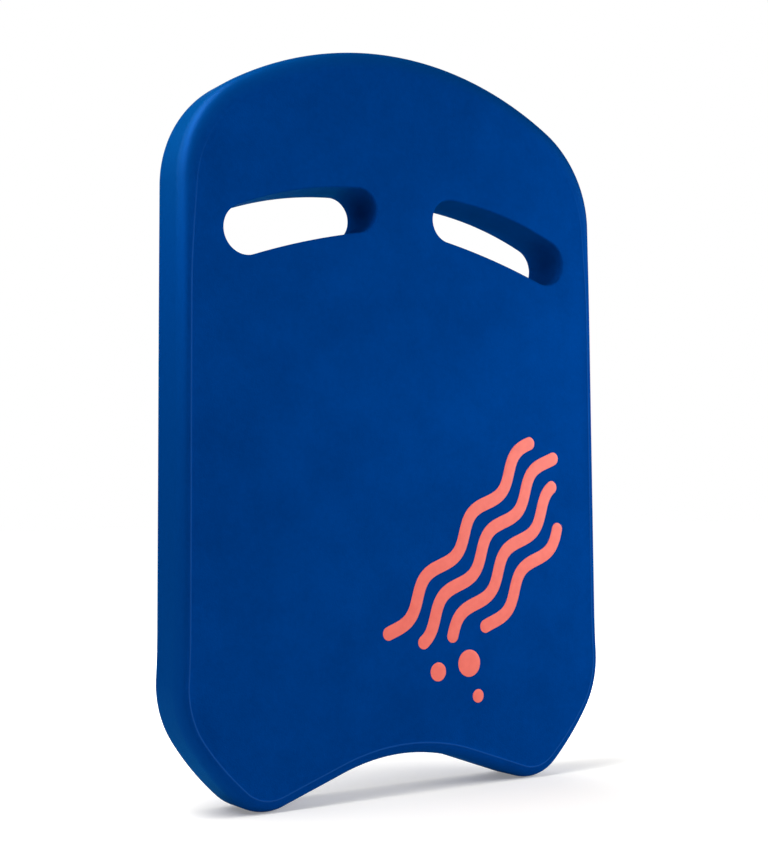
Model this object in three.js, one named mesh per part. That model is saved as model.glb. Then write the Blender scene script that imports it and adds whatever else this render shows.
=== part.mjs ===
// Kickboard float: one moulded closed-cell foam board with two curved hand slots and a notched tail, and a
// generic wave motif printed on its front face. Millimetres, +Z up.
//
// The board stands upright on its two tail horns. The origin is on the ground under the middle of the board,
// X runs across the board and Y from its front face to its back face.
import * as THREE from 'three';

// ---- Driving dimensions -------------------------------------------------------------------------------

const HEIGHT = 430;
const THICKNESS = 34;
const EDGE_RADIUS = 6;
const SLOT_RIM_RADIUS = 1.5;

// The right half of the outline is a chain of tangent arcs, walked from the top of the crown down the side
// and in to the top of the notch. A turn is in degrees and positive to the right, so the waist, which turns
// the other way, makes the side flare out a little to the hip.
const CROWN = { radius: 217, turn: 30.6, steps: 10 };
const SHOULDER = { radius: 68, turn: 59.2, steps: 10 };
const WAIST = { radius: 500, turn: -3, steps: 3 };
const HIP = { radius: 59, turn: 36.5, steps: 6 };
const CHAMFER = { radius: 159, turn: 14.5, steps: 4 };
const HORN = { radius: 28.5, steps: 7 };
const HORN_INNER_STEPS = 3;
const FLANK = { length: 41.5, slope: 19.4 };
const NOTCH_STEPS = 6;

// A hand slot is bean shaped: two end circles, joined by an arc above and an arc below that both bulge
// upwards. The places are the centres of the end circles of the slot at the right.
const SLOT_INNER_END = { x: 32.5, z: 334.4, radius: 12.8, steps: 8 };
const SLOT_OUTER_END = { x: 104.7, z: 316.1, radius: 14, steps: 8 };
const SLOT_TOP = { radius: 225, steps: 7 };
const SLOT_BOTTOM = { radius: 468, steps: 5 };

// The motif is laid out along a slanted line. A stripe's level is its distance above that line.
const FILM_THICKNESS = 0.25;
const MOTIF = { x: 62, z: 128, slant: 47 };
const WAVE = { length: 50, height: 4, width: 8, steps: 30, endSteps: 6 };
const STRIPES = [
  { from: -78, to: 74, level: 30 },
  { from: -66, to: 80, level: 13 },
  { from: -50, to: 66, level: -4 },
  { from: -30, to: 50, level: -21 },
];
const BUBBLES = [
  { along: -54, level: -24, radius: 8 },
  { along: -72, level: -10, radius: 5.5 },
  { along: -64, level: -42, radius: 4 },
];
const BUBBLE_STEPS = 28;

// Steps around the quarter circle of a rounded edge.
const EDGE_STEPS = 4;
const RIM_STEPS = 2;

// ---- Materials ----------------------------------------------------------------------------------------

const foamMaterial = new THREE.MeshStandardMaterial({ color: 0x06408c, roughness: 0.75, metalness: 0 });
const inkMaterial = new THREE.MeshStandardMaterial({ color: 0xfa7669, roughness: 0.5, metalness: 0 });

// ---- Outlines: closed loops of points, each with the heading of the walk in radians --------------------

const radians = THREE.MathUtils.degToRad;

// Adds an arc to a walk: the centre lies to the right of the heading for a turn to the right.
function walkArc(walk, radius, turn, steps) {
  const side = Math.sign(turn);
  const start = walk.at(-1);
  const centreX = start.x + side * radius * Math.sin(start.heading);
  const centreZ = start.z - side * radius * Math.cos(start.heading);
  for (let step = 1; step <= steps; step += 1) {
    const heading = start.heading - (turn * step) / steps;
    const x = centreX - side * radius * Math.sin(heading);
    const z = centreZ + side * radius * Math.cos(heading);
    walk.push({ x, z, heading });
  }
}

function walkStraight(walk, length) {
  const { x, z, heading } = walk.at(-1);
  walk.push({ x: x + length * Math.cos(heading), z: z + length * Math.sin(heading), heading });
}

// The chain from the end of the side to the horn's lowest point, where the walk heads straight back inwards.
function walkToGround(walk) {
  walkArc(walk, WAIST.radius, radians(WAIST.turn), WAIST.steps);
  walkArc(walk, HIP.radius, radians(HIP.turn), HIP.steps);
  walkArc(walk, CHAMFER.radius, radians(CHAMFER.turn), CHAMFER.steps);
  walkArc(walk, HORN.radius, Math.PI + walk.at(-1).heading, HORN.steps);
}

// The straight side is as long as brings the horn's lowest point down to the ground.
function boardHalf() {
  const walk = [{ x: 0, z: HEIGHT, heading: 0 }];
  walkArc(walk, CROWN.radius, radians(CROWN.turn), CROWN.steps);
  walkArc(walk, SHOULDER.radius, radians(SHOULDER.turn), SHOULDER.steps);
  const withoutSide = [walk.at(-1)];
  walkToGround(withoutSide);
  walkStraight(walk, withoutSide.at(-1).z / Math.abs(Math.sin(walk.at(-1).heading)));
  walkToGround(walk);
  const slope = radians(FLANK.slope);
  walkArc(walk, HORN.radius, slope, HORN_INNER_STEPS);
  walkStraight(walk, FLANK.length);
  walkArc(walk, walk.at(-1).x / Math.sin(slope), -slope, NOTCH_STEPS);
  return walk;
}

// The same loop on the other side of the board, walked in the same sense.
function mirrored(loop) {
  return loop.map(({ x, z, heading }) => ({ x: -x, z, heading: -heading })).reverse();
}

function boardOutline() {
  const right = boardHalf();
  return [...right, ...mirrored(right.slice(1, -1))];
}

// Where two circles cross, below both of their centres.
function lowerCrossing(first, firstRadius, second, secondRadius) {
  const gap = Math.hypot(second.x - first.x, second.z - first.z);
  const alongX = (second.x - first.x) / gap;
  const alongZ = (second.z - first.z) / gap;
  const along = (firstRadius ** 2 - secondRadius ** 2 + gap ** 2) / (2 * gap);
  const across = Math.sqrt(firstRadius ** 2 - along ** 2);
  return {
    x: first.x + along * alongX + across * alongZ,
    z: first.z + along * alongZ - across * alongX,
  };
}

// The slot at the right, walked with the slot to the left, so that the foam is always to the right.
function slotOutline() {
  const inner = SLOT_INNER_END;
  const outer = SLOT_OUTER_END;
  const above = SLOT_TOP.radius;
  const below = SLOT_BOTTOM.radius;
  const top = lowerCrossing(inner, above - inner.radius, outer, above - outer.radius);
  const bottom = lowerCrossing(inner, below + inner.radius, outer, below + outer.radius);
  const bearing = (centre, point) => Math.atan2(point.z - centre.z, point.x - centre.x);
  const topTurn = bearing(top, inner) - bearing(top, outer);
  const bottomTurn = bearing(bottom, inner) - bearing(bottom, outer);
  const startBearing = bearing(top, outer);
  const walk = [{
    x: top.x + above * Math.cos(startBearing),
    z: top.z + above * Math.sin(startBearing),
    heading: startBearing + Math.PI / 2,
  }];
  walkArc(walk, above, -topTurn, SLOT_TOP.steps);
  walkArc(walk, inner.radius, -(Math.PI + bearing(bottom, inner) - bearing(top, inner)), inner.steps);
  walkArc(walk, below, bottomTurn, SLOT_BOTTOM.steps);
  walkArc(walk, outer.radius, -(Math.PI - bearing(bottom, outer) + bearing(top, outer)), outer.steps);
  return walk.slice(0, -1);
}

// ---- Foam board ---------------------------------------------------------------------------------------

// The rings of a rounded wall from the front face to the back face: how deep each lies, and how far it is
// set back into the foam.
function wallRings(radius, steps) {
  const front = [];
  for (let step = 0; step <= steps; step += 1) {
    const angle = (step / steps) * (Math.PI / 2);
    const setBack = radius * (1 - Math.sin(angle));
    front.push({ y: -THICKNESS / 2 + radius * (1 - Math.cos(angle)), setBack });
  }
  const back = front.map(({ y, setBack }) => ({ y: -y, setBack })).reverse();
  return [...front, ...back];
}

// A slab with rounded edges through all its loops: the first loop is its outline and runs clockwise seen
// from the front, the others are openings and run the other way. Every ring of vertices is shared between
// the two bands beside it, and the end rings are shared with the faces, so the solid is closed.
function roundedSlab(loops) {
  const positions = [];
  const triangles = [];
  const faceLoops = [];
  const frontIndices = [];
  const backIndices = [];
  for (const { points, radius, steps } of loops) {
    const first = positions.length / 3;
    const rings = wallRings(radius, steps);
    for (const { y, setBack } of rings) {
      for (const { x, z, heading } of points) {
        positions.push(x + setBack * Math.sin(heading), y, z - setBack * Math.cos(heading));
      }
    }
    const count = points.length;
    const lastRing = first + (rings.length - 1) * count;
    for (let ring = first; ring < lastRing; ring += count) {
      for (let step = 0; step < count; step += 1) {
        const next = (step + 1) % count;
        triangles.push(ring + step, ring + next, ring + count + next);
        triangles.push(ring + step, ring + count + next, ring + count + step);
      }
    }
    faceLoops.push(points.map((_, step) => {
      const vertex = 3 * (first + step);
      return new THREE.Vector2(positions[vertex], positions[vertex + 2]);
    }));
    points.forEach((_, step) => {
      frontIndices.push(first + step);
      backIndices.push(lastRing + step);
    });
  }
  for (const [a, b, c] of THREE.ShapeUtils.triangulateShape(faceLoops[0], faceLoops.slice(1))) {
    triangles.push(frontIndices[a], frontIndices[b], frontIndices[c]);
    triangles.push(backIndices[a], backIndices[c], backIndices[b]);
  }
  const geometry = new THREE.BufferGeometry();
  geometry.setAttribute('position', new THREE.Float32BufferAttribute(positions, 3));
  geometry.setIndex(triangles);
  geometry.computeVertexNormals();
  return geometry;
}

function foamBoard() {
  const slot = slotOutline();
  const geometry = roundedSlab([
    { points: boardOutline(), radius: EDGE_RADIUS, steps: EDGE_STEPS },
    { points: slot, radius: SLOT_RIM_RADIUS, steps: RIM_STEPS },
    { points: mirrored(slot), radius: SLOT_RIM_RADIUS, steps: RIM_STEPS },
  ]);
  const board = new THREE.Mesh(geometry, foamMaterial);
  board.name = 'foam_board';
  return board;
}

// ---- Printed motif ------------------------------------------------------------------------------------

// A film of ink with the given outline, standing out of the front face. The shape's upward direction
// becomes +Z.
function inkFilm(name, shape) {
  const geometry = new THREE.ExtrudeGeometry(shape, { depth: FILM_THICKNESS, bevelEnabled: false });
  geometry.rotateX(Math.PI / 2);
  const film = new THREE.Mesh(geometry, inkMaterial);
  film.name = name;
  return film;
}

// A stripe of even width along a wave, with half-round ends.
function stripeShape({ from, to, level }) {
  const half = WAVE.width / 2;
  const phase = (along) => (2 * Math.PI * along) / WAVE.length;
  const centre = (along) => new THREE.Vector2(along, level + WAVE.height * Math.sin(phase(along)));
  const bearing = (along) => Math.atan(((2 * Math.PI * WAVE.height) / WAVE.length) * Math.cos(phase(along)));
  const rim = (along, angle) => {
    const around = bearing(along) + angle;
    return centre(along).add(new THREE.Vector2(half * Math.cos(around), half * Math.sin(around)));
  };
  const points = [];
  for (let step = 0; step < WAVE.steps; step += 1) {
    points.push(rim(from + ((to - from) * step) / WAVE.steps, -Math.PI / 2));
  }
  for (let step = 0; step < WAVE.endSteps; step += 1) {
    points.push(rim(to, -Math.PI / 2 + (Math.PI * step) / WAVE.endSteps));
  }
  for (let step = 0; step < WAVE.steps; step += 1) {
    points.push(rim(to - ((to - from) * step) / WAVE.steps, Math.PI / 2));
  }
  for (let step = 0; step < WAVE.endSteps; step += 1) {
    points.push(rim(from, Math.PI / 2 + (Math.PI * step) / WAVE.endSteps));
  }
  return new THREE.Shape(points);
}

function bubbleShape({ along, level, radius }) {
  const points = [];
  for (let step = 0; step < BUBBLE_STEPS; step += 1) {
    const angle = (2 * Math.PI * step) / BUBBLE_STEPS;
    points.push(new THREE.Vector2(along + radius * Math.cos(angle), level + radius * Math.sin(angle)));
  }
  return new THREE.Shape(points);
}

function printedMotif() {
  const motif = new THREE.Group();
  STRIPES.forEach((stripe, index) => motif.add(inkFilm(`print_wave_${index + 1}`, stripeShape(stripe))));
  BUBBLES.forEach((bubble, index) => motif.add(inkFilm(`print_bubble_${index + 1}`, bubbleShape(bubble))));
  motif.rotation.y = -radians(MOTIF.slant);
  motif.position.set(MOTIF.x, -THICKNESS / 2, MOTIF.z);
  return motif;
}

// ---- Kickboard ----------------------------------------------------------------------------------------

const kickboard = new THREE.Group();
kickboard.add(foamBoard());
kickboard.add(printedMotif());

export default kickboard;
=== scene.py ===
"""A moulded foam kickboard standing on its two tail horns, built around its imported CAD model."""

import math

import bpy
from mathutils import Matrix, Vector, noise
from mathutils.geometry import delaunay_2d_cdt


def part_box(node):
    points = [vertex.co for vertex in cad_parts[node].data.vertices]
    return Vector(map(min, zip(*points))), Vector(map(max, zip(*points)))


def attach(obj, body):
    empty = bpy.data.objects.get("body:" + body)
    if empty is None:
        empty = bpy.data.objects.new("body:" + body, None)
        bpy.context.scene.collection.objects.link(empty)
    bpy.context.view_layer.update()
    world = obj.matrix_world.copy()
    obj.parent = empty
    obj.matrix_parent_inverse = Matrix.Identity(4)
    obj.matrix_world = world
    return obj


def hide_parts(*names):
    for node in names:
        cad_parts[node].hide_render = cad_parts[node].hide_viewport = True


MM = 0.001

# The camera looks at a point on the board's mid plane. Angles are in degrees, the lens and sensor in mm.
CAMERA_TARGET = Vector((-5.3, 0.0, 208.6)) * MM
CAMERA_DISTANCE = 854.3 * MM
CAMERA_AZIMUTH = -33.47
CAMERA_ELEVATION = -3.09
CAMERA_ROLL = -0.40
CAMERA_LENS = 60.6
CAMERA_SENSOR = 36.0

# The outline's right half is a chain of tangent arcs, as in the CAD part: radii in mm, turns in degrees.
CROWN = (217.0, 30.6)
SHOULDER = (68.0, 59.2)
WAIST = (500.0, -3.0)
HIP = (59.0, 36.5)
CHAMFER = (159.0, 14.5)
HORN_RADIUS = 28.5
FLANK_LENGTH = 41.5
FLANK_SLOPE = 19.4

# A hand slot's end circles, and the arcs that join them: x, z and radius in mm.
SLOT_INNER_END = (32.5, 334.4, 12.8)
SLOT_OUTER_END = (104.7, 316.1, 14.0)
SLOT_TOP_RADIUS = 225.0
SLOT_BOTTOM_RADIUS = 468.0

# The points of an outline lie about this far apart in mm, and closer around the ends of a slot.
OUTLINE_STEP = 1.5
SLOT_END_STEP = 0.8

# The edge rounding runs further down the side than in across the face, in mm. A slot's rim is much smaller.
EDGE_SETBACK = 5.2
EDGE_DEPTH = 8.5
EDGE_STEPS = 12
SLOT_RIM_SETBACK = 1.1
SLOT_RIM_DEPTH = 1.4
SLOT_RIM_STEPS = 7

# The rounding is wider over the crown and under the horns. Each widening, in mm, grows from its start
# height to its full height.
CROWN_WIDENING = 6.0
CROWN_START = 280.0
CROWN_FULL = 395.0
HORN_WIDENING = 0.8
HORN_START = 45.0
HORN_FULL = 8.0

# A thin raised lip runs between the rounding and the flat face, in mm, and fades out towards the crown.
LIP_WIDTH = 1.5
LIP_HEIGHT = 0.22
LIP_STEPS = 8

# The faces are filled with triangles about this size. They swell and dip a little in a pattern of this
# size, with a finer ripple on top. The patterns of the front and the back are taken this far in front of
# and behind the board, so that they differ. All in mm.
FACE_STEP = 5.0
FACE_UNEVENNESS = 0.10
FACE_PATTERN_SIZE = 55.0
FACE_PATTERN_SHIFT = 400.0
RIPPLE_SHARE = 0.35
RIPPLE_FINENESS = 3.1

# A film of ink stands out of the foam, has softened edges and reaches a little way into the foam, in mm.
FILM_HEIGHT = 0.11
FILM_BEVEL = 0.12
FILM_DEPTH = 0.1
FILM_STEP = 2.5

# The printed motif, in mm: stripes of even width along a wave, and round bubbles. A stripe's two numbers
# are where it starts and ends along the slanted line.
MOTIF_SLANT = 47.0
WAVE_LENGTH = 50.0
WAVE_HEIGHT = 4.0
STRIPE_WIDTH = 8.0
STRIPE_STEP = 1.2
STRIPE_END_STEPS = 14
STRIPES = {
    "print_wave_1": (-78.0, 74.0),
    "print_wave_2": (-66.0, 80.0),
    "print_wave_3": (-50.0, 66.0),
    "print_wave_4": (-30.0, 50.0),
}
BUBBLES = ("print_bubble_1", "print_bubble_2", "print_bubble_3")
BUBBLE_STEPS = 48

# Colours are linear: red, green, blue and opacity.
FOAM_DARK = (0.0, 0.0365, 0.2030, 1.0)
FOAM_LIGHT = (0.0, 0.0455, 0.2480, 1.0)
# Painted light: the outer wall is painted lighter and greener than the face, as the lit side looks.
FOAM_WALL_PAINTED_LIGHT = (0.0, 0.0440, 0.2350, 1.0)
# Painted highlight: the shoulder rounding is painted paler and greener, as where the light catches it.
FOAM_SHOULDER_HIGHLIGHT = (0.0, 0.0530, 0.2040, 1.0)
# Painted highlight: the lip is painted lighter, as a bright line along the edge of the face.
FOAM_LIP_HIGHLIGHT = (0.008, 0.066, 0.29, 1.0)
INK_DARK = (0.83, 0.121, 0.086, 1.0)
INK_LIGHT = (0.90, 0.153, 0.108, 1.0)
PAPER_DARK = (0.84, 0.825, 0.79, 1.0)
PAPER_LIGHT = (0.86, 0.845, 0.81, 1.0)
WHITE = (1.0, 1.0, 1.0, 1.0)

# Foam isn't metal, but a small metallic share with this tint keeps its reflection free of red at shallow
# angles, where a plain one would turn the blue purple.
FOAM_METALLIC = 0.25
FOAM_TINT = (0.0, 0.75, 1.0, 1.0)

# A weak coat lies on the polished edge alone, and the same share paints a highlight colour onto the
# edge. The edge of the straight sides is this much duller, in coat and in painted highlight.
EDGE_COAT = 0.06
EDGE_COAT_ROUGHNESS = 0.34
SIDE_DULLNESS = 0.8

# The softboxes face this point, in metres.
LIGHT_TARGET = Vector((0.0, 0.0, 0.215))

# The floor's glow grows from the near to the far distance from this centre, in metres, so that no horizon
# shows. Only the camera sees it, apart from a base that lights the board too.
FLOOR_CENTRE = (0.0, -0.10, 0.0)
FLOOR_NEAR = 0.08
FLOOR_FAR = 0.48
FLOOR_REACH = 12.0
GLOW_NEAR = 0.10
GLOW_FAR = 0.92
GLOW_BASE = 0.1


# ---- Outlines: lists of (x, z, heading) in mm and radians, with the foam to the right of the walk ------


def walk_arc(walk, radius, turn, step=OUTLINE_STEP):
    """Adds an arc of the given turn in radians, to the right when positive."""
    x, z, heading = walk[-1]
    side = math.copysign(1.0, turn)
    centre_x = x + side * radius * math.sin(heading)
    centre_z = z - side * radius * math.cos(heading)
    steps = max(2, math.ceil(radius * abs(turn) / step))
    for i in range(1, steps + 1):
        now = heading - turn * i / steps
        x = centre_x - side * radius * math.sin(now)
        z = centre_z + side * radius * math.cos(now)
        walk.append((x, z, now))


def walk_straight(walk, length, step=OUTLINE_STEP):
    x, z, heading = walk[-1]
    steps = max(1, math.ceil(length / step))
    for i in range(1, steps + 1):
        along = length * i / steps
        walk.append((x + along * math.cos(heading), z + along * math.sin(heading), heading))


def walk_to_ground(walk):
    """From the end of the straight side to the horn's lowest point, where the walk heads inwards."""
    for radius, turn in (WAIST, HIP, CHAMFER):
        walk_arc(walk, radius, math.radians(turn))
    walk_arc(walk, HORN_RADIUS, math.pi + walk[-1][2])


def board_half(height):
    walk = [(0.0, height, 0.0)]
    for radius, turn in (CROWN, SHOULDER):
        walk_arc(walk, radius, math.radians(turn))
    without_side = [walk[-1]]
    walk_to_ground(without_side)
    walk_straight(walk, without_side[-1][1] / abs(math.sin(walk[-1][2])))
    walk_to_ground(walk)
    slope = math.radians(FLANK_SLOPE)
    walk_arc(walk, HORN_RADIUS, slope)
    walk_straight(walk, FLANK_LENGTH)
    walk_arc(walk, walk[-1][0] / math.sin(slope), -slope)
    return walk


def mirrored(walk):
    """The same loop on the other side of the board, walked in the same sense."""
    return [(-x, z, -heading) for x, z, heading in reversed(walk)]


def board_outline(height):
    right = board_half(height)
    return right + mirrored(right[1:-1])


def lower_crossing(first, first_radius, second, second_radius):
    """Where two circles cross, below both of their centres."""
    gap_x, gap_z = second[0] - first[0], second[1] - first[1]
    gap = math.hypot(gap_x, gap_z)
    along = (first_radius**2 - second_radius**2 + gap**2) / (2 * gap)
    across = math.sqrt(first_radius**2 - along**2)
    x = first[0] + (along * gap_x + across * gap_z) / gap
    z = first[1] + (along * gap_z - across * gap_x) / gap
    return x, z


def bearing(centre, point):
    return math.atan2(point[1] - centre[1], point[0] - centre[0])


def slot_outline():
    """The hand slot at the right: two end circles, joined by an arc above and an arc below."""
    inner, outer = SLOT_INNER_END[:2], SLOT_OUTER_END[:2]
    inner_radius, outer_radius = SLOT_INNER_END[2], SLOT_OUTER_END[2]
    above, below = SLOT_TOP_RADIUS, SLOT_BOTTOM_RADIUS
    top = lower_crossing(inner, above - inner_radius, outer, above - outer_radius)
    bottom = lower_crossing(inner, below + inner_radius, outer, below + outer_radius)
    top_turn = bearing(top, inner) - bearing(top, outer)
    bottom_turn = bearing(bottom, inner) - bearing(bottom, outer)
    start = bearing(top, outer)
    start_x = top[0] + above * math.cos(start)
    start_z = top[1] + above * math.sin(start)
    inner_turn = math.pi + bearing(bottom, inner) - bearing(top, inner)
    outer_turn = math.pi - bearing(bottom, outer) + bearing(top, outer)
    walk = [(start_x, start_z, start + math.pi / 2)]
    walk_arc(walk, above, -top_turn)
    walk_arc(walk, inner_radius, -inner_turn, SLOT_END_STEP)
    walk_arc(walk, below, bottom_turn)
    walk_arc(walk, outer_radius, -outer_turn, SLOT_END_STEP)
    return walk[:-1]


def set_back(walk, distance, widening=None):
    """The loop moved into the foam by distance, and further near the face where the edge is wider."""
    near_face = min(1.0, distance / EDGE_SETBACK) ** 2
    moved = []
    for x, z, heading in walk:
        inwards = distance + (near_face * widening(z) if widening else 0.0)
        moved.append((x + inwards * math.sin(heading), z - inwards * math.cos(heading)))
    return moved


def eased(value, start, end):
    """Runs smoothly from 0 at start to 1 at end."""
    share = min(1.0, max(0.0, (value - start) / (end - start)))
    return share * share * (3.0 - 2.0 * share)


def crown_share(z):
    """Runs from 0 on the straight sides to 1 over the crown."""
    return eased(z, CROWN_START, CROWN_FULL)


def edge_widening(z):
    """How much wider the edge rounding is at a height than along the straight sides, in mm."""
    return CROWN_WIDENING * crown_share(z) + HORN_WIDENING * eased(z, HORN_START, HORN_FULL)


# ---- Wall profiles: (set back, depth from the face, lip share) from the face to mid wall --------------


def lip_profile():
    """The raised lip, from the flat face to where the edge rounding starts."""
    profile = []
    for i in range(LIP_STEPS):
        share = math.sin(math.pi * i / LIP_STEPS) ** 2
        profile.append((EDGE_SETBACK + LIP_WIDTH * (1 - i / LIP_STEPS), -LIP_HEIGHT * share, share))
    return profile


def rounded_profile(setback, depth, steps):
    """A quarter ellipse from the face to the wall."""
    profile = []
    for i in range(steps + 1):
        angle = math.pi / 2 * i / steps
        profile.append((setback * (1 - math.sin(angle)), depth * (1 - math.cos(angle)), 0.0))
    return profile


def wall_rings(profile, half_thickness):
    """A wall's rings from front to back: (set back, y of the nearer face, offset from it, lip share)."""
    front = [(inwards, -half_thickness, depth, lip) for inwards, depth, lip in profile]
    back = [(inwards, half_thickness, -depth, lip) for inwards, _, depth, lip in reversed(front)]
    return front + back


# ---- Mesh building ------------------------------------------------------------------------------------


def filled_face(borders, step):
    """Triangles between the first border and the others, with a grid of points inside.

    Gives the inner points, and triangles whose numbers count the borders' points first, in order.
    The grid keeps clear of the borders, so that no triangle is a sliver.
    """
    border_points = [point for border in borders for point in border]
    xs = [x for x, _ in borders[0]]
    zs = [z for _, z in borders[0]]
    clearance = (0.45 * step) ** 2
    grid = []
    columns = int((max(xs) - min(xs)) / step) + 1
    rows = int((max(zs) - min(zs)) / step) + 1
    for row in range(rows):
        for column in range(columns):
            x = min(xs) + step * (column + 0.5 * (row % 2))
            z = min(zs) + step * row
            if min((x - px) ** 2 + (z - pz) ** 2 for px, pz in border_points) > clearance:
                grid.append((x, z))
    loops = []
    first = 0
    for border in borders:
        loops.append(list(range(first, first + len(border))))
        first += len(border)
    # The triangulation wants its outer loop counter-clockwise.
    loops[0].reverse()
    points = [Vector(point) for point in border_points + grid]
    made, _, faces, from_points, _, from_loops = delaunay_2d_cdt(points, [], loops, 1, 1e-6)
    inner = []
    index = []
    for place, sources in zip(made, from_points):
        if sources and sources[0] < len(border_points):
            index.append(sources[0])
        else:
            index.append(len(border_points) + len(inner))
            inner.append((place.x, place.y))
    triangles = []
    for face, inside in zip(faces, from_loops):
        if inside == [0]:
            a, b, c = (made[i] for i in face)
            clockwise = (b - a).cross(c - a) < 0
            triangles.append([index[i] for i in (reversed(face) if clockwise else face)])
    return inner, triangles


def ring_quads(first, count, rings, flipped=False):
    """The faces between rings of points, each with count points, numbered on from first."""
    quads = []
    for ring in range(first, first + count * (rings - 1), count):
        for i in range(count):
            j = (i + 1) % count
            a, b = (j, i) if flipped else (i, j)
            quads.append((ring + a, ring + b, ring + count + b, ring + count + a))
    return quads


def cap_faces(border, first_inner, inner_count, triangles, flipped):
    """The triangles of a filled face, from its border's point numbers and that of its first inner point."""
    index = border + list(range(first_inner, first_inner + inner_count))
    return [[index[i] for i in (reversed(corners) if flipped else corners)] for corners in triangles]


def mesh_object(name, points, faces, material):
    """A smooth-shaded object from points in mm."""
    mesh = bpy.data.meshes.new(name)
    mesh.from_pydata([Vector(point) * MM for point in points], [], faces)
    mesh.materials.append(material)
    mesh.polygons.foreach_set("use_smooth", [True] * len(mesh.polygons))
    mesh.validate()
    made = bpy.data.objects.new(name, mesh)
    bpy.context.scene.collection.objects.link(made)
    return made


def add_attribute(made, name, values):
    attribute = made.data.attributes.new(name, "FLOAT", "POINT")
    attribute.data.foreach_set("value", values)


def unevenness(x, z, side):
    """How far the moulded face stands out at a place, in mm: side is -1 at the front and 1 at the back."""
    place = Vector((x, z, FACE_PATTERN_SHIFT * side)) / FACE_PATTERN_SIZE
    return FACE_UNEVENNESS * (noise.noise(place) + RIPPLE_SHARE * noise.noise(place * RIPPLE_FINENESS))


def foam_board(material):
    """The moulding: rounded and lipped edges, two hand slots with eased rims, and slightly uneven faces.

    Four attributes tell the material where it is: on the lip, which carries a painted highlight line, on
    the outer wall, which is painted lighter, on a slot's wall (cut), and how polished the edge is (shine),
    which also paints a highlight colour onto the edge.
    """
    low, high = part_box("foam_board")
    height = (high.z - low.z) / MM
    half_thickness = (high.y - low.y) / 2 / MM
    slot = slot_outline()
    edge = lip_profile() + rounded_profile(EDGE_SETBACK, EDGE_DEPTH, EDGE_STEPS)
    rim = rounded_profile(SLOT_RIM_SETBACK, SLOT_RIM_DEPTH, SLOT_RIM_STEPS)
    loops = [(board_outline(height), edge, edge_widening), (slot, rim, None), (mirrored(slot), rim, None)]
    points, faces, borders = [], [], []
    border_front, border_back = [], []
    shares = {"lip": [], "wall": [], "cut": [], "gloss_and_highlight": []}
    for walk, profile, widening in loops:
        first = len(points)
        count = len(walk)
        widest = EDGE_SETBACK if widening else SLOT_RIM_SETBACK
        rings = wall_rings(profile, half_thickness)
        for inwards, face, depth, lip in rings:
            wall = max(0.0, 1.0 - inwards / widest)
            for x, z in set_back(walk, inwards, widening):
                fading = 1.0 - crown_share(z)
                points.append((x, face + (depth * fading if lip else depth), z))
                # The lip share marks where the painted highlight line lies; it fades out over the crown.
                shares["lip"].append(lip * fading)
                # The wall share also paints the outer wall lighter, besides setting its polish and
                # wrinkles.
                shares["wall"].append(wall if widening else 0.0)
                shares["cut"].append(0.0 if widening else wall)
                # This share gives the edge its coat and paints a highlight colour onto it, strongest over
                # the crown.
                shares["gloss_and_highlight"].append(wall * (1.0 - SIDE_DULLNESS * fading) if widening else 0.0)
        faces += ring_quads(first, count, len(rings))
        border_front += range(first, first + count)
        border_back += range(len(points) - count, len(points))
        borders.append(set_back(walk, profile[0][0], widening))
    inner, triangles = filled_face(borders, FACE_STEP)
    for side, border in ((-1, border_front), (1, border_back)):
        faces += cap_faces(border, len(points), len(inner), triangles, side > 0)
        for x, z in inner:
            points.append((x, side * (half_thickness + unevenness(x, z, side)), z))
        for values in shares.values():
            values += [0.0] * len(inner)
    board = mesh_object("board", points, faces, material)
    for name, values in shares.items():
        add_attribute(board, name, values)
    return board


def stripe_outline(start, end):
    """A stripe of even width along a wave, with half-round ends, as (x, z, heading) along the slant."""

    def place(along, angle):
        phase = 2 * math.pi * along / WAVE_LENGTH
        slope = math.atan(2 * math.pi * WAVE_HEIGHT / WAVE_LENGTH * math.cos(phase))
        around = slope + angle
        half = STRIPE_WIDTH / 2
        x = along + half * math.cos(around)
        z = WAVE_HEIGHT * math.sin(phase) + half * math.sin(around)
        return x, z, around - math.pi / 2

    steps = round((end - start) / STRIPE_STEP)
    ends = range(STRIPE_END_STEPS)
    walk = [place(start + (end - start) * i / steps, math.pi / 2) for i in range(steps)]
    walk += [place(end, math.pi / 2 - math.pi * i / STRIPE_END_STEPS) for i in ends]
    walk += [place(end - (end - start) * i / steps, -math.pi / 2) for i in range(steps)]
    walk += [place(start, -math.pi / 2 - math.pi * i / STRIPE_END_STEPS) for i in ends]
    return turned(walk, math.radians(MOTIF_SLANT))


def turned(walk, angle):
    cos, sin = math.cos(angle), math.sin(angle)
    return [(x * cos - z * sin, x * sin + z * cos, heading + angle) for x, z, heading in walk]


def bubble_outline(radius):
    angles = [-2 * math.pi * i / BUBBLE_STEPS for i in range(BUBBLE_STEPS)]
    return [(radius * math.cos(a), radius * math.sin(a), a - math.pi / 2) for a in angles]


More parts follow.
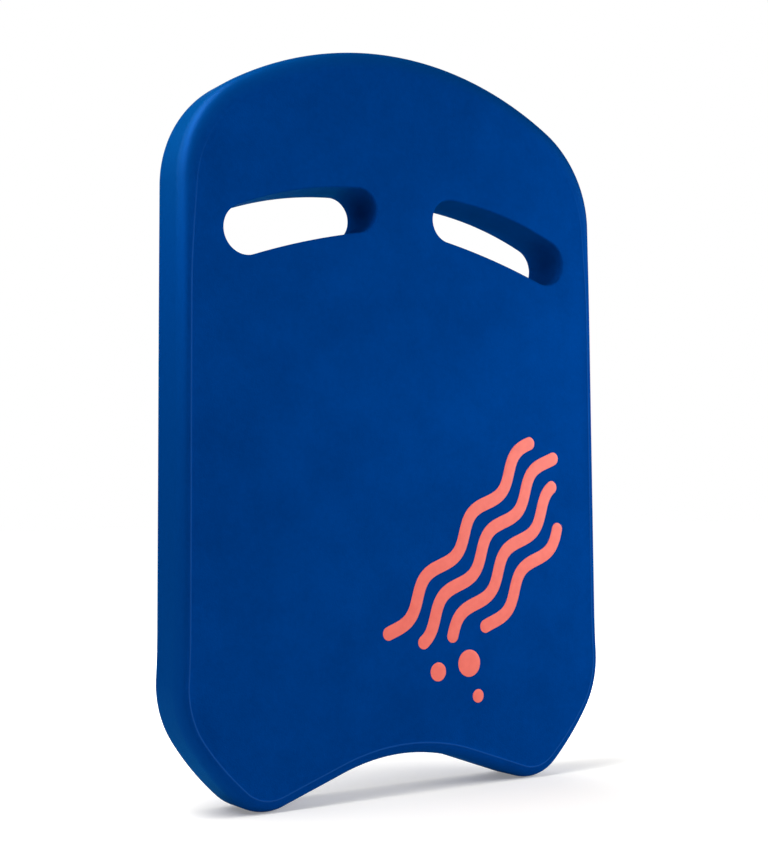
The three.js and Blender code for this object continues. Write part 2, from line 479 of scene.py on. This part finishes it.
def ink_film(name, walk, material):
    """A thin film of ink that follows the foam, with softened edges, centred on its CAD node."""
    low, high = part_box(name)
    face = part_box("foam_board")[0].y / MM
    xs = [x for x, _, _ in walk]
    zs = [z for _, z, _ in walk]
    shift_x = (low.x + high.x) / 2 / MM - (min(xs) + max(xs)) / 2
    shift_z = (low.z + high.z) / 2 / MM - (min(zs) + max(zs)) / 2
    walk = [(x + shift_x, z + shift_z, heading) for x, z, heading in walk]
    count = len(walk)
    points = []

    def add(place, height):
        x, z = place
        points.append((x, face - unevenness(x, z, -1) - height, z))

    rings = [
        (0.0, -FILM_DEPTH),
        (0.0, 0.35 * FILM_HEIGHT),
        (0.4 * FILM_BEVEL, 0.85 * FILM_HEIGHT),
        (FILM_BEVEL, FILM_HEIGHT),
    ]
    for inwards, height in rings:
        for place in set_back(walk, inwards):
            add(place, height)
    faces = ring_quads(0, count, len(rings), flipped=True)
    inner, triangles = filled_face([set_back(walk, FILM_BEVEL)], FILM_STEP)
    bottom = list(range(count))
    top = list(range(count * (len(rings) - 1), count * len(rings)))
    for border, height in ((top, FILM_HEIGHT), (bottom, -FILM_DEPTH)):
        faces += cap_faces(border, len(points), len(inner), triangles, border is bottom)
        for place in inner:
            add(place, height)
    return mesh_object(name.replace("print", "ink"), points, faces, material)


# ---- Materials: the scale of a pattern is in features per metre ------------------------------------------


def new_material(name):
    """A material with only its Principled shader and output, and a helper that adds nodes to it."""
    material = bpy.data.materials.new(name)
    material.use_nodes = True
    tree = material.node_tree
    shader = tree.nodes["Principled BSDF"]

    def add(kind, inputs=(), **settings):
        made = tree.nodes.new(kind)
        for key, value in settings.items():
            setattr(made, key, value)
        for key, value in dict(inputs).items():
            if isinstance(value, bpy.types.NodeSocket):
                tree.links.new(value, made.inputs[key])
            else:
                made.inputs[key].default_value = value
        return made

    return material, shader, add


def maths(add, operation, *values):
    """The result of a Math node on numbers or other nodes' outputs."""
    return add("ShaderNodeMath", enumerate(values), operation=operation).outputs[0]


def pattern(add, place, scale, detail, roughness=0.6):
    """A cloudy pattern of values from 0 to 1."""
    inputs = {"Vector": place, "Scale": scale, "Detail": detail, "Roughness": roughness}
    return add("ShaderNodeTexNoise", inputs).outputs["Fac"]


def cell_pattern(add, place, scale):
    """How far a place is from the middle of its foam cell."""
    return add("ShaderNodeTexVoronoi", {"Vector": place, "Scale": scale}).outputs["Distance"]


def ramp(add, value, low, high, start=0.0, end=1.0):
    """A colour that runs from low to high as the value goes from start to end."""
    made = add("ShaderNodeValToRGB", {"Fac": value})
    first, last = made.color_ramp.elements
    first.position = start
    first.color = low
    last.position = end
    last.color = high
    return made.outputs["Color"]


def blended(add, share, below, above):
    """The colour below, covered by the colour above as far as the share goes."""
    mix = add("ShaderNodeMix", {"Factor": share, "A": below, "B": above}, data_type="RGBA")
    return next(output for output in mix.outputs if output.type == "RGBA")


def mapped(add, value, low, high, start=0.0, end=1.0, **settings):
    """A number that runs from low to high as the value goes from start to end."""
    inputs = {"Value": value, "From Min": start, "From Max": end, "To Min": low, "To Max": high}
    return add("ShaderNodeMapRange", inputs, **settings).outputs["Result"]


def bumps(add, height, strength, distance):
    """The normal of a surface with this fine relief."""
    inputs = {"Height": height, "Strength": strength, "Distance": distance}
    return add("ShaderNodeBump", inputs).outputs["Normal"]


def foam_material():
    """Closed-cell foam skin: fine cells, faint mottling and a polished edge, with painted light on top.

    The side wall is painted lighter and greener, the shoulder rounding carries a painted highlight, and
    the lip a painted highlight line.
    """
    material, shader, add = new_material("foam")
    link = material.node_tree.links.new
    place = add("ShaderNodeTexCoord").outputs["Object"]
    clouds = pattern(add, place, 26.0, 5.0, 0.62)
    flecks = pattern(add, place, 300.0, 3.0)
    pores = pattern(add, place, 3200.0, 2.0)
    cells = cell_pattern(add, place, 850.0)
    names = ("lip", "wall", "cut", "gloss_and_highlight")
    lip, wall, cut, gloss_and_highlight = (add("ShaderNodeAttribute", attribute_name=n).outputs["Fac"] for n in names)

    faint_flecks = maths(add, "MULTIPLY", flecks, 0.5)
    mottle = maths(add, "ADD", clouds, faint_flecks)
    blue = ramp(add, mapped(add, mottle, 0.0, 1.0, 0.55, 0.95), FOAM_DARK, FOAM_LIGHT)
    # Painted light: the outer wall is painted lighter and greener than the face.
    blue = blended(add, wall, blue, FOAM_WALL_PAINTED_LIGHT)
    # Painted highlight on the shoulder rounding.
    blue = blended(add, gloss_and_highlight, blue, FOAM_SHOULDER_HIGHLIGHT)
    # Painted highlight line along the lip.
    blue = blended(add, lip, blue, FOAM_LIP_HIGHLIGHT)
    link(blue, shader.inputs["Base Color"])

    skin = mapped(add, flecks, 0.52, 0.68)
    polish = mapped(add, wall, 1.0, 0.62)
    link(maths(add, "MULTIPLY", skin, polish), shader.inputs["Roughness"])

    grain = maths(add, "MULTIPLY_ADD", cells, 0.6, pores)
    wrinkles = maths(add, "MULTIPLY", flecks, wall)
    grain = maths(add, "MULTIPLY_ADD", wrinkles, 1.5, grain)
    coarseness = maths(add, "MULTIPLY_ADD", cut, 1.5, 1.0)
    relief = maths(add, "MULTIPLY", grain, coarseness)
    link(bumps(add, relief, 0.55, 0.00016), shader.inputs["Normal"])

    shader.inputs["Metallic"].default_value = FOAM_METALLIC
    shader.inputs["Specular Tint"].default_value = FOAM_TINT
    shader.inputs["Specular IOR Level"].default_value = 0.0
    link(maths(add, "MULTIPLY", gloss_and_highlight, EDGE_COAT), shader.inputs["Coat Weight"])
    shader.inputs["Coat Roughness"].default_value = EDGE_COAT_ROUGHNESS
    return material


def ink_material():
    """Screen-printed coral ink: the foam's grain shows through it, and it is a little thin in places."""
    material, shader, add = new_material("ink")
    link = material.node_tree.links.new
    place = add("ShaderNodeTexCoord").outputs["Object"]
    clouds = pattern(add, place, 190.0, 5.0)
    cells = cell_pattern(add, place, 1250.0)
    link(ramp(add, clouds, INK_DARK, INK_LIGHT, 0.25, 0.75), shader.inputs["Base Color"])
    link(mapped(add, clouds, 0.40, 0.55), shader.inputs["Roughness"])
    link(bumps(add, cells, 0.2, 0.00008), shader.inputs["Normal"])
    return material


def floor_material():
    """White paper, lit so that it gets brighter away from the board until it meets the white behind it."""
    material, shader, add = new_material("floor")
    link = material.node_tree.links.new
    place = add("ShaderNodeTexCoord").outputs["Object"]
    clouds = pattern(add, place, 4.0, 3.0, 0.5)
    link(ramp(add, clouds, PAPER_DARK, PAPER_LIGHT), shader.inputs["Base Color"])
    away = add("ShaderNodeVectorMath", {0: place, 1: FLOOR_CENTRE}, operation="DISTANCE").outputs["Value"]
    glow = mapped(add, away, GLOW_NEAR, GLOW_FAR, FLOOR_NEAR, FLOOR_FAR, interpolation_type="SMOOTHSTEP")
    seen = add("ShaderNodeLightPath").outputs["Is Camera Ray"]
    link(maths(add, "MULTIPLY_ADD", glow, seen, GLOW_BASE), shader.inputs["Emission Strength"])
    shader.inputs["Emission Color"].default_value = WHITE
    shader.inputs["Roughness"].default_value = 0.9
    shader.inputs["Specular IOR Level"].default_value = 0.0
    return material


# ---- Camera, floor and light ----------------------------------------------------------------------------


def direction(azimuth, elevation):
    """A unit vector from the board: azimuth 0 is straight out of its front face, 90 is to its right."""
    around, above = math.radians(azimuth), math.radians(elevation)
    level = math.cos(above)
    return Vector((math.sin(around) * level, -math.cos(around) * level, math.sin(above)))


def make_camera():
    """The camera that shows the board from its front left, a little from below."""
    back = direction(CAMERA_AZIMUTH, CAMERA_ELEVATION)
    right = Vector((-back.y, back.x, 0.0)).normalized()
    up = back.cross(right)
    roll = math.radians(CAMERA_ROLL)
    turned_right = right * math.cos(roll) + up * math.sin(roll)
    turned_up = up * math.cos(roll) - right * math.sin(roll)
    data = bpy.data.cameras.new("camera")
    data.sensor_width = CAMERA_SENSOR
    data.lens = CAMERA_LENS
    data.clip_start = 0.02
    data.clip_end = 60.0
    camera = bpy.data.objects.new("camera", data)
    rotation = Matrix((turned_right, turned_up, back)).transposed().to_4x4()
    camera.matrix_world = Matrix.Translation(CAMERA_TARGET + back * CAMERA_DISTANCE) @ rotation
    bpy.context.scene.collection.objects.link(camera)
    bpy.context.scene.camera = camera


def make_floor():
    reach = FLOOR_REACH / MM
    corners = [(-reach, -reach, 0.0), (reach, -reach, 0.0), (reach, reach, 0.0), (-reach, reach, 0.0)]
    floor = mesh_object("floor", corners, [(0, 1, 2, 3)], floor_material())


def soft_light(name, azimuth, elevation, distance, size, power):
    """A square softbox that faces the middle of the board: degrees, metres and watts."""
    data = bpy.data.lights.new(name, "AREA")
    data.shape = "SQUARE"
    data.size = size
    data.energy = power
    light = bpy.data.objects.new(name, data)
    towards = direction(azimuth, elevation)
    light.location = LIGHT_TARGET + towards * distance
    light.rotation_mode = "QUATERNION"
    light.rotation_quaternion = towards.to_track_quat("Z", "Y")
    bpy.context.scene.collection.objects.link(light)


def make_light():
    """Softboxes around the board, in front of a white that only the camera sees."""
    world = bpy.data.worlds.new("studio")
    world.use_nodes = True
    tree = world.node_tree
    background = tree.nodes["Background"]
    background.inputs["Color"].default_value = WHITE
    seen = tree.nodes.new("ShaderNodeLightPath")
    tree.links.new(seen.outputs["Is Camera Ray"], background.inputs["Strength"])
    bpy.context.scene.world = world
    soft_light("key", -80.0, 65.0, 0.90, 0.45, 4.0)
    soft_light("left", -105.0, 42.0, 0.60, 0.50, 2.3)
    soft_light("left_front", -70.0, 38.0, 0.55, 0.32, 1.4)
    soft_light("front", 15.0, 12.0, 0.90, 0.45, 0.9)
    soft_light("fill", 60.0, 8.0, 0.75, 0.40, 4.2)
    soft_light("right", 140.0, 30.0, 0.90, 0.80, 1.9)
    soft_light("back", 165.0, 5.0, 0.90, 0.60, 2.8)


# ---- Scene ----------------------------------------------------------------------------------------------

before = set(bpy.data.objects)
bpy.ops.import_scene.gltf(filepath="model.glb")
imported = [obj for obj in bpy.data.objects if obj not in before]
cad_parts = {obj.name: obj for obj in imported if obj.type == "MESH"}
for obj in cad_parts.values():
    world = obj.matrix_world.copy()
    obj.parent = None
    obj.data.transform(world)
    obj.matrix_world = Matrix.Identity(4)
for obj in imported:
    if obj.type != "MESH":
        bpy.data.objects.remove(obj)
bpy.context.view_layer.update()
make_camera()

foam = foam_material()
ink = ink_material()
board = foam_board(foam)
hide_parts("foam_board")
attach(board, "root")

films = {name: stripe_outline(*ends) for name, ends in STRIPES.items()}
for name in BUBBLES:
    low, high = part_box(name)
    films[name] = bubble_outline((high.x - low.x) / 2 / MM)
for name, outline in films.items():
    film = ink_film(name, outline, ink)
    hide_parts(name)
    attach(film, "root")

make_floor()
make_light()
bpy.context.scene.view_settings.view_transform = "Standard"
